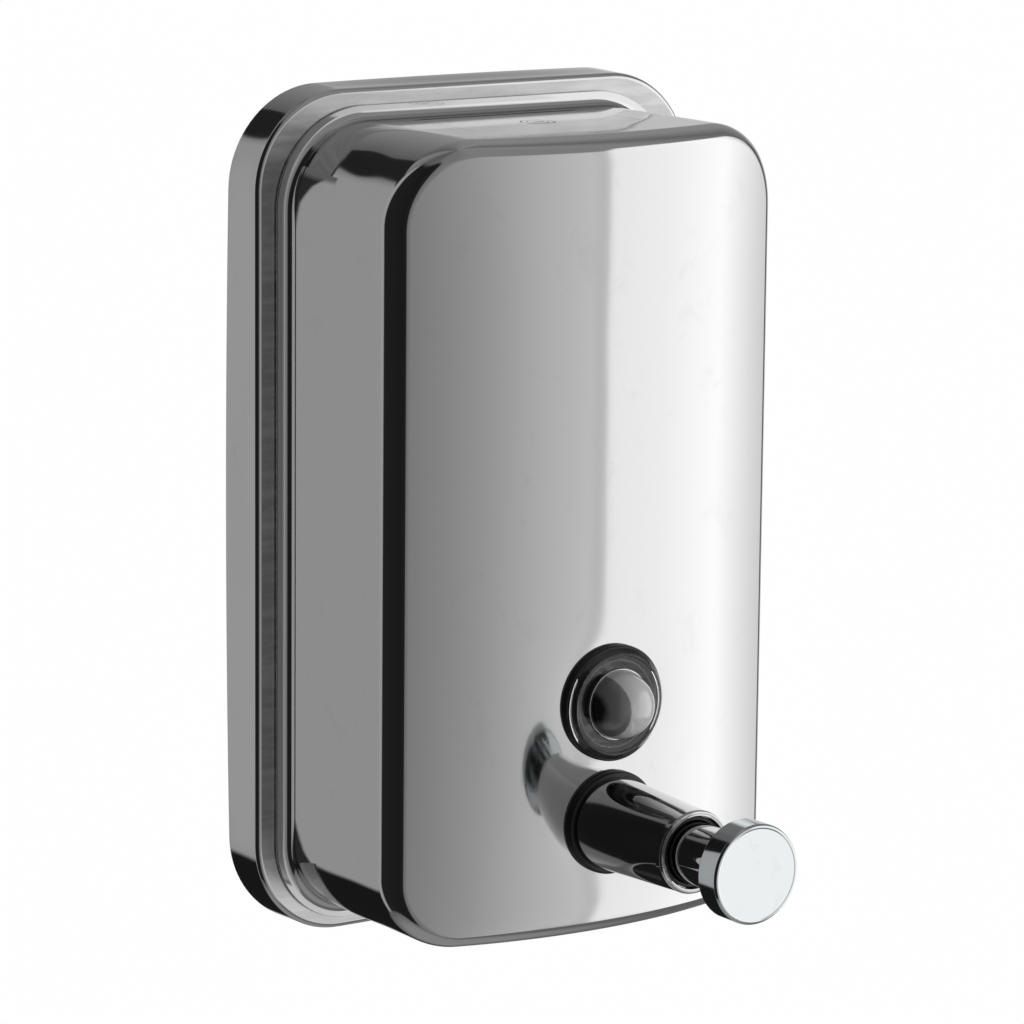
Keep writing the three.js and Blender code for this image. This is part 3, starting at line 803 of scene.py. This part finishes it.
def seat_ring(name, centre_z, outer, inner, thick, round_over):
    """A rubber ring that follows the tank's bowed front."""
    skin = Skin()
    skin.turn(profile([
        (inner, 0.6), (inner, -thick, 0.25), (outer, -thick, round_over), (outer + 0.1, 0.1, 0.2),
        (outer - 0.4, 0.6), (inner, 0.6)]), 128, centre_z, follow=bow_y)
    return skin.build(name, [RUBBER])


def bullet(radius, top, base, steps=14, power=0.86):
    """A dome's profile from its tip to its base, a little blunter than an ellipse, with its normals."""
    angles = np.linspace(0, math.pi / 2, steps)
    points = np.stack([radius * np.sin(angles) ** power, base - (base - top) * np.cos(angles)], -1)
    points[0, 0] = 0.0
    normals = []
    for angle in angles:
        near = np.clip(angle + np.array([-1e-4, 1e-4]), 1e-5, math.pi / 2 - 1e-5)
        r = radius * np.sin(near) ** power
        y = base - (base - top) * np.cos(near)
        normal = np.array([y[1] - y[0], r[0] - r[1]])
        normals.append(normal / np.linalg.norm(normal))
    normals[0] = np.array([0.0, -1.0])
    normals[-1] = np.array([1.0, 0.0])
    return points, np.array(normals)


def make_window():
    """The rubber ring and the sight lens: clear (zone 0), a dome with painted reflections (zone 1), a bright
    bead (zone 2).
    """
    ring = seat_ring("window_seal", WINDOW_Z, **WINDOW_SEAL)
    declare(ring, "dispenser", "black_rubber", "window_ring")
    lens_low, lens_high = box_mm("sight_lens")
    tip, back = lens_low[1], lens_high[1]
    root = bow_y(0, WINDOW_Z) - 1.05
    face = root - 0.95
    dome, wall = 8.2, 2.0
    skin = Skin()
    outer = [bullet(dome, tip, face)]
    rest = profile([
        (dome + 0.45, face), (11.6, face, 0.12), (11.75, face - 0.42, 0.12), (12.25, face - 0.42, 0.2),
        (13.45, root - 0.1, 0.5), (13.45, root + 0.25), (10.2, root + 0.25), (10.2, back),
        (dome - wall, back)])
    bead = profile([
        (dome, face), (dome, face - 0.45, 0.2), (dome + 0.45, face - 0.45, 0.25), (dome + 0.45, face)])
    inner = [bullet(dome - wall, tip + wall, face)]
    step_in = profile([(dome - wall, back), (dome - wall, face)])
    skin.turn(outer, 128, WINDOW_Z, 1)
    skin.turn(bead, 128, WINDOW_Z, 2)
    skin.turn(rest + step_in + inner, 128, WINDOW_Z)
    declare(skin.build("sight_dome", [CLEAR, PAINTED_REFLECTION_DOME, CHROME]), "dispenser", "clear_plastic", "sight_lens")


def make_pump():
    """The pump's seal, barrel, guide bush, stem and button, turned about one axis."""
    gasket = seat_ring("pump_seal", PUMP_Z, **PUMP_SEAL)
    declare(gasket, "dispenser", "black_rubber", "pump_gasket")
    rim, back = box_mm("pump_barrel")[0][1], box_mm("pump_barrel")[1][1]
    root = bow_y(0, PUMP_Z) - PUMP_SEAL["thick"]
    skin = Skin()
    skin.turn(profile([
        (8.3, back), (9.7, back), (9.7, root), (11.25, root, 0.3), (9.95, rim + 2.3, 0.4),
        (9.95, rim + 0.7, 0.3), (9.72, rim + 0.1, 0.2), (9.35, rim, 0.1), (9.28, rim + 0.22, 0.05),
        (9.18, rim + 0.22, 0.05), (9.1, rim, 0.08), (8.72, rim + 0.05, 0.12), (8.6, rim + 0.6, 0.1),
        (8.6, rim + 3.2), (8.3, rim + 3.2), (8.3, back)]), 144, PUMP_Z)
    declare(skin.build("barrel_turned", [CHROME]), "dispenser", "chrome_plate", "pump_barrel")

    guide_low, guide_high = box_mm("stem_guide")
    skin = Skin()
    skin.turn(profile([
        (7.55, guide_high[1]), (8.45, guide_high[1]), (8.45, guide_low[1], 0.25), (7.55, guide_low[1], 0.15),
        (7.55, guide_high[1])]), 96, PUMP_Z)
    # Painted shade: the stem guide is white nylon, but the bush is given black rubber so that it stands for
    # the shade in the recess inside the barrel's nose.
    declare(skin.build("guide_bush", [RUBBER]), "dispenser", "white_nylon", "stem_guide")

    stem_low, stem_high = box_mm("plunger_stem")
    front, stem_back = stem_low[1], stem_high[1]
    shoulder, chamber, throat, seat = -97.6, -112, -100.2, -98.8
    skin = Skin()
    skin.turn(profile([
        (1.8, stem_back), (4, stem_back, 0.2), (4, shoulder), (7.25, shoulder, 0.3), (7.25, front + 3.4, 0.1),
        (6.95, front + 3.0, 0.1), (6.95, front + 2.4, 0.1), (7.25, front + 2.0, 0.1), (7.25, front, 0.2),
        (5, front), (5, front + 1.0), (1.8, front + 1.0), (1.8, chamber), (2.9, chamber), (2.9, throat),
        (1.8, seat), (1.8, stem_back)]), 96, PUMP_Z)
    declare(skin.build("stem_turned", [CHROME]), "plunger", "chrome_plate", "plunger_stem")

    button_low, button_high = box_mm("push_button")
    face, base, radius = button_low[1], button_high[1], button_high[0]
    skin = Skin()
    skin.turn(profile([
        (0, face + 0.12), (radius - 1.1, face + 0.06, 0.3), (radius - 0.75, face, 0.18),
        (radius - 0.35, face + 0.06, 0.2), (radius, face + 0.6, 0.35), (radius, base - 0.4, 0.3),
        (radius - 0.5, base, 0.25), (5.3, base), (5.3, base - 4), (0, base - 4)]), 160, PUMP_Z)
    declare(skin.build("button_turned", [BUTTON_CHROME]), "plunger", "chrome_plate", "push_button")


# ---- springs, and the pieces that keep their CAD shapes ----

def make_spring(node, body, wire, turns):
    """A coil spring along Y, drawn in its CAD node's box, that moves with its body."""
    low, high = box_mm(node)
    centre = (low + high) / 2
    radius = (high[0] - low[0]) / 2 - wire
    steps, sides = 28 * turns, 10
    share = np.linspace(0, 1, steps + 1)[:, None]
    angle = 2 * math.pi * turns * share
    section = np.arange(sides)[None, :] * 2 * math.pi / sides
    out, back = np.cos(section), np.sin(section)
    path = low[1] + wire + (high[1] - low[1] - 2 * wire) * share
    normals = np.stack([np.cos(angle) * out, back + 0 * angle, np.sin(angle) * out], -1)
    points = np.stack([
        centre[0] + (radius + wire * out) * np.cos(angle), path + wire * back,
        centre[2] + (radius + wire * out) * np.sin(angle)], -1)
    skin = Skin()
    skin.rows(points, normals)
    for end, sign in ((0, 1.0), (-1, -1.0)):
        along = sign * np.array([math.sin(angle[end, 0]), 0.0, -math.cos(angle[end, 0])])
        skin.patch(points[end], np.tile(along, (sides, 1)), [tuple(range(sides))])
    spring = declare(skin.build(node + "_drawn", [SPRING]), body, "spring_steel", node)
    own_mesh(spring)


def dress(node, material):
    """Gives a CAD node its material."""
    for place in frame["nodes"][node].material_slots:
        place.material = material


def soften(node, slot, material, bevel):
    """Draws a CAD node again with its sharp edges a little rounded."""
    node_object = frame["nodes"][node]
    piece = bpy.data.objects.new(node + "_eased", node_object.data.copy())
    bpy.context.collection.objects.link(piece)
    piece.data.materials.clear()
    piece.data.materials.append(material)
    edge = piece.modifiers.new("bevel", "BEVEL")
    edge.width = bevel * MM
    edge.segments = 2
    edge.limit_method = "ANGLE"
    edge.angle_limit = math.radians(40)
    edge.harden_normals = True
    declare(piece, node_object["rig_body"], slot, node)


def dress_rest():
    """Materials for all the pieces that are not drawn above; eased edges where a CAD solid's are sharp."""
    for node in ("lid_hinge_pin", "piston_nut", "inlet_ball", "outlet_ball"):
        dress(node, SPRING)
    for node in ("lid_gasket", "window_washer", "pump_washer", "stem_seal", "piston_ring"):
        dress(node, RUBBER)
    dress("intake_tube", CLEAR)
    for node in ("wall_bracket", "hanger_strap_upper", "hanger_strap_lower"):
        soften(node, "zinc_steel", ZINC, 0.25)
    soften("lock_cam", "zinc_steel", ZINC, 0.15)
    for node in ("filler_frame", "window_nut", "pump_nut", "piston", "inlet_cap"):
        soften(node, "white_nylon", NYLON, 0.2)
    soften("filler_lid", "polished_steel", LID_STEEL, 0.08)
    soften("lock_sleeve", "chrome_plate", CHROME, 0.12)
    soften("lock_plug", "chrome_plate", CHROME, 0.1)


make_pan()
make_tank()
make_window()
make_pump()
make_spring("return_spring", "dispenser", wire=0.6, turns=8)
make_spring("inlet_spring", "dispenser", wire=0.3, turns=4)
make_spring("outlet_spring", "plunger", wire=0.3, turns=4)
dress_rest()


# ---- studio ----

# the solved camera, in degrees, millimetres of lens and metres
AZIMUTH, ELEVATION, ROLL = (math.radians(a) for a in (-34.412, 10.802, 0.553))
LENS, SENSOR = 171.33, 36
DISTANCE = 1.17369
AIM = Vector((0, -0.035, 0))
AIM_RIGHT, AIM_UP = -0.004, 0.000516
FLOOR_Z = -0.42
FLOOR_REACH = 30.0


def make_camera():
    flat = math.cos(ELEVATION)
    back = Vector((math.sin(AZIMUTH) * flat, -math.cos(AZIMUTH) * flat, math.sin(ELEVATION)))
    right = (-back).cross(Vector((0, 0, 1))).normalized()
    up = right.cross(-back)
    data = bpy.data.cameras.new("camera")
    data.lens = LENS
    data.sensor_width = SENSOR
    data.clip_end = 100
    camera = bpy.data.objects.new("camera", data)
    bpy.context.collection.objects.link(camera)
    turn_right = math.cos(ROLL) * right + math.sin(ROLL) * up
    turn_up = -math.sin(ROLL) * right + math.cos(ROLL) * up
    place = AIM + AIM_RIGHT * right + AIM_UP * up + back * DISTANCE
    camera.matrix_world = Matrix((
        (turn_right.x, turn_up.x, back.x, place.x), (turn_right.y, turn_up.y, back.y, place.y),
        (turn_right.z, turn_up.z, back.z, place.z), (0, 0, 0, 1)))
    bpy.context.scene.camera = camera


# The studio against azimuth in degrees, positive to the left of someone facing the wall: the brightness of
# the cards round it, the height in degrees where they end, the brightness over them, and where they end
# below.
CARDS = (
    (-180, 0.42), (-160, 0.44), (-148, 0.52), (-140, 0.70), (-116, 0.45), (-106, 0.10), (-94, 0.10),
    (-89, 0.80), (-81, 1.05), (-68, 1.55), (-50, 1.34), (-34, 1.25), (-32, 0.70), (-28, 0.78), (-15, 0.64),
    (-1, 0.45), (9, 0.345), (17, 0.27), (35, 0.22), (40, 0.02), (60, 0.015), (128, 0.02), (132, 0.46),
    (142, 0.46), (148, 0.41), (168, 0.40), (180, 0.42))
CARD_TOPS = (
    (-180, 10), (-150, 9), (-105, 9), (-92, 14), (-78, 26), (-55, 30), (-40, 28), (-32, 12), (0, 12),
    (12, 30), (30, 46), (50, 60), (125, 60), (140, 48), (147, 26), (162, 22), (180, 10))
OVERHEAD = (
    (-180, 0.14), (-165, 0.22), (-150, 0.30), (-130, 0.34), (-110, 0.26), (-92, 0.19), (-75, 0.26),
    (-55, 0.33), (-30, 0.30), (0, 0.30), (15, 0.24), (40, 0.24), (70, 0.16), (125, 0.14), (145, 0.24),
    (165, 0.30), (180, 0.14))
CARD_FEET = (
    (-180, -23), (-140, -23), (-20, -28), (-4, -40), (10, -47), (60, -49), (100, -46), (140, -43),
    (146, -24), (180, -23))


def make_world():
    world = bpy.data.worlds.new("studio")
    bpy.context.scene.world = world
    world.use_nodes = True
    nodes, links = world.node_tree.nodes, world.node_tree.links
    nodes.clear()

    def put(value, socket):
        if isinstance(value, bpy.types.NodeSocket):
            links.new(value, socket)
        else:
            socket.default_value = value

    def calc(operation, *inputs):
        node = nodes.new("ShaderNodeMath")
        node.operation = operation
        for socket, value in zip(node.inputs, inputs):
            put(value, socket)
        return node.outputs[0]

    def step(value, low, high):
        node = nodes.new("ShaderNodeMapRange")
        node.interpolation_type = "SMOOTHSTEP"
        for key, number in (("Value", value), ("From Min", low), ("From Max", high)):
            put(number, node.inputs[key])
        return node.outputs["Result"]

    def mix(share, a, b):
        node = nodes.new("ShaderNodeMix")
        for key, number in (("Factor", share), ("A", a), ("B", b)):
            put(number, node.inputs[key])
        return node.outputs["Result"]

    def curve(table, azimuth, low, high):
        """A value for each azimuth, in straight lines between the table's points."""
        node = nodes.new("ShaderNodeFloatCurve")
        links.new(calc("MULTIPLY_ADD", azimuth, 1 / 360, 0.5), node.inputs["Value"])
        line = node.mapping.curves[0]
        places = [(degrees / 360 + 0.5, (value - low) / (high - low)) for degrees, value in table]
        line.points[0].location, line.points[1].location = places[0], places[-1]
        for place in places[1:-1]:
            line.points.new(*place)
        for point in line.points:
            point.handle_type = "VECTOR"
        node.mapping.update()
        return calc("MULTIPLY_ADD", node.outputs[0], high - low, low)

    split = nodes.new("ShaderNodeSeparateXYZ")
    links.new(nodes.new("ShaderNodeTexCoord").outputs["Generated"], split.inputs[0])
    x, y, z = split.outputs
    azimuth = calc("DEGREES", calc("ARCTAN2", calc("MULTIPLY", x, -1.0), calc("MULTIPLY", y, -1.0)))
    elevation = calc("DEGREES", calc("ARCSINE", z))
    cards = curve(CARDS, azimuth, 0, 2)
    overhead = curve(OVERHEAD, azimuth, 0, 1)
    top = curve(CARD_TOPS, azimuth, -90, 90)
    foot = curve(CARD_FEET, azimuth, -90, 90)
    # the floor grows brighter below, and a low gap behind the dispenser is dark
    gap = calc("MULTIPLY", step(calc("ABSOLUTE", azimuth), 143.0, 149.0), step(elevation, -46.0, -40.0))
    floor = calc("MULTIPLY_ADD", step(elevation, -44.0, -66.0), 0.16, 0.17)
    floor = calc("MULTIPLY_ADD", gap, calc("MULTIPLY", floor, -0.93), floor)
    level = mix(step(elevation, calc("SUBTRACT", top, 3.0), calc("ADD", top, 4.0)), cards, overhead)
    # a small dark patch up to the left, behind the dispenser
    patch_sides = calc("MULTIPLY", step(azimuth, 142.0, 150.0), step(azimuth, 184.0, 178.0))
    patch_ends = calc("MULTIPLY", step(elevation, 24.5, 27.0), step(elevation, 39.0, 36.0))
    level = mix(calc("MULTIPLY", patch_sides, patch_ends), level, 0.02)
    level = mix(step(elevation, calc("ADD", foot, 2.0), calc("SUBTRACT", foot, 2.0)), level, floor)
    seen = nodes.new("ShaderNodeLightPath").outputs["Is Camera Ray"]
    background = nodes.new("ShaderNodeBackground")
    background.inputs["Color"].default_value = (1, 1, 1, 1)
    links.new(mix(seen, level, 1.0), background.inputs["Strength"])
    output = nodes.new("ShaderNodeOutputWorld")
    links.new(background.outputs[0], output.inputs[0])


def make_floor():
    """A plain pale floor, well below the dispenser, that only the camera sees."""
    mesh = bpy.data.meshes.new("floor")
    corners = ((-1, -1), (1, -1), (1, 1), (-1, 1))
    mesh.from_pydata([(x * FLOOR_REACH, y * FLOOR_REACH, FLOOR_Z) for x, y in corners], [], [(0, 1, 2, 3)])
    floor = bpy.data.objects.new("floor", mesh)
    bpy.context.collection.objects.link(floor)
    look = Look("floor", Roughness=0.9, Specular_IOR_Level=0.0, Emission_Strength=0.97)
    look.set(Base_Color=(0.1, 0.1, 0.1, 1), Emission_Color=(1, 1, 1, 1))
    mesh.materials.append(look.material)
    floor.visible_glossy = False
    floor.visible_diffuse = False
    floor.visible_transmission = False
    floor.visible_shadow = False


# the side card: its span round the tank, in outline()'s u, and outward from it, in millimetres; its tones;
# and how far out its lit part starts at each height, in millimetres
CARD_ROUND, CARD_OUT = (2.64, 4.2), (1.3, 10.5)
CARD_LIT, CARD_DARK, CARD_TOP = 0.41, 0.03, 0.15
CARD_EDGE = (
    (-86, 6.0), (-83.5, 4.8), (-78.5, 2.6), (-72, 0.8), (69, 0.8), (76.8, 2.3), (81.6, 4.8), (84, 7.0))


def make_side_card():
    """A strip of grey card lying on the left flange: only the tank's side sees it, in its mirror finish."""
    u = np.linspace(*CARD_ROUND, 300)
    grow = np.linspace(*CARD_OUT, 40)
    x, z, nx, nz = outline(TANK_FORM, u)
    depth = np.full_like(x, FLANGE_FRONT - 0.5)
    rows = [np.stack([x + g * nx, depth, z + g * nz], -1) for g in grow]
    edge = np.interp(z, *zip(*CARD_EDGE))
    lit = np.clip((grow[:, None] - edge) / 0.8 + 0.5, 0, 1)
    top = np.clip((z - 83.0) / 1.5, 0, 1)
    tones = (CARD_DARK + (CARD_LIT - CARD_DARK) * lit) * (1 - top) + CARD_TOP * top
    count = len(u)
    faces = [
        (row + i, row + count + i, row + count + i + 1, row + i + 1)
        for row in range(0, count * (len(grow) - 1), count) for i in range(count - 1)]
    mesh = bpy.data.meshes.new("side card")
    mesh.from_pydata((np.concatenate(rows) * MM).tolist(), [], faces)
    mesh.attributes.new("tone", "FLOAT", "POINT").data.foreach_set("value", tones.ravel())
    card = bpy.data.objects.new("side card", mesh)
    bpy.context.collection.objects.link(card)
    material = bpy.data.materials.new("side card")
    material.use_nodes = True
    nodes, links = material.node_tree.nodes, material.node_tree.links
    nodes.clear()
    glow = nodes.new("ShaderNodeEmission")
    tone = nodes.new("ShaderNodeAttribute")
    tone.attribute_name = "tone"
    links.new(tone.outputs["Fac"], glow.inputs["Strength"])
    clear = nodes.new("ShaderNodeBsdfTransparent")
    pick = nodes.new("ShaderNodeMixShader")
    links.new(nodes.new("ShaderNodeNewGeometry").outputs["Backfacing"], pick.inputs[0])
    links.new(glow.outputs[0], pick.inputs[1])
    links.new(clear.outputs[0], pick.inputs[2])
    links.new(pick.outputs[0], nodes.new("ShaderNodeOutputMaterial").inputs[0])
    mesh.materials.append(material)
    card.visible_camera = False
    card.visible_diffuse = False
    card.visible_transmission = False
    card.visible_shadow = False


make_camera()
make_world()
make_floor()
make_side_card()
bpy.context.scene.view_settings.view_transform = "Standard"
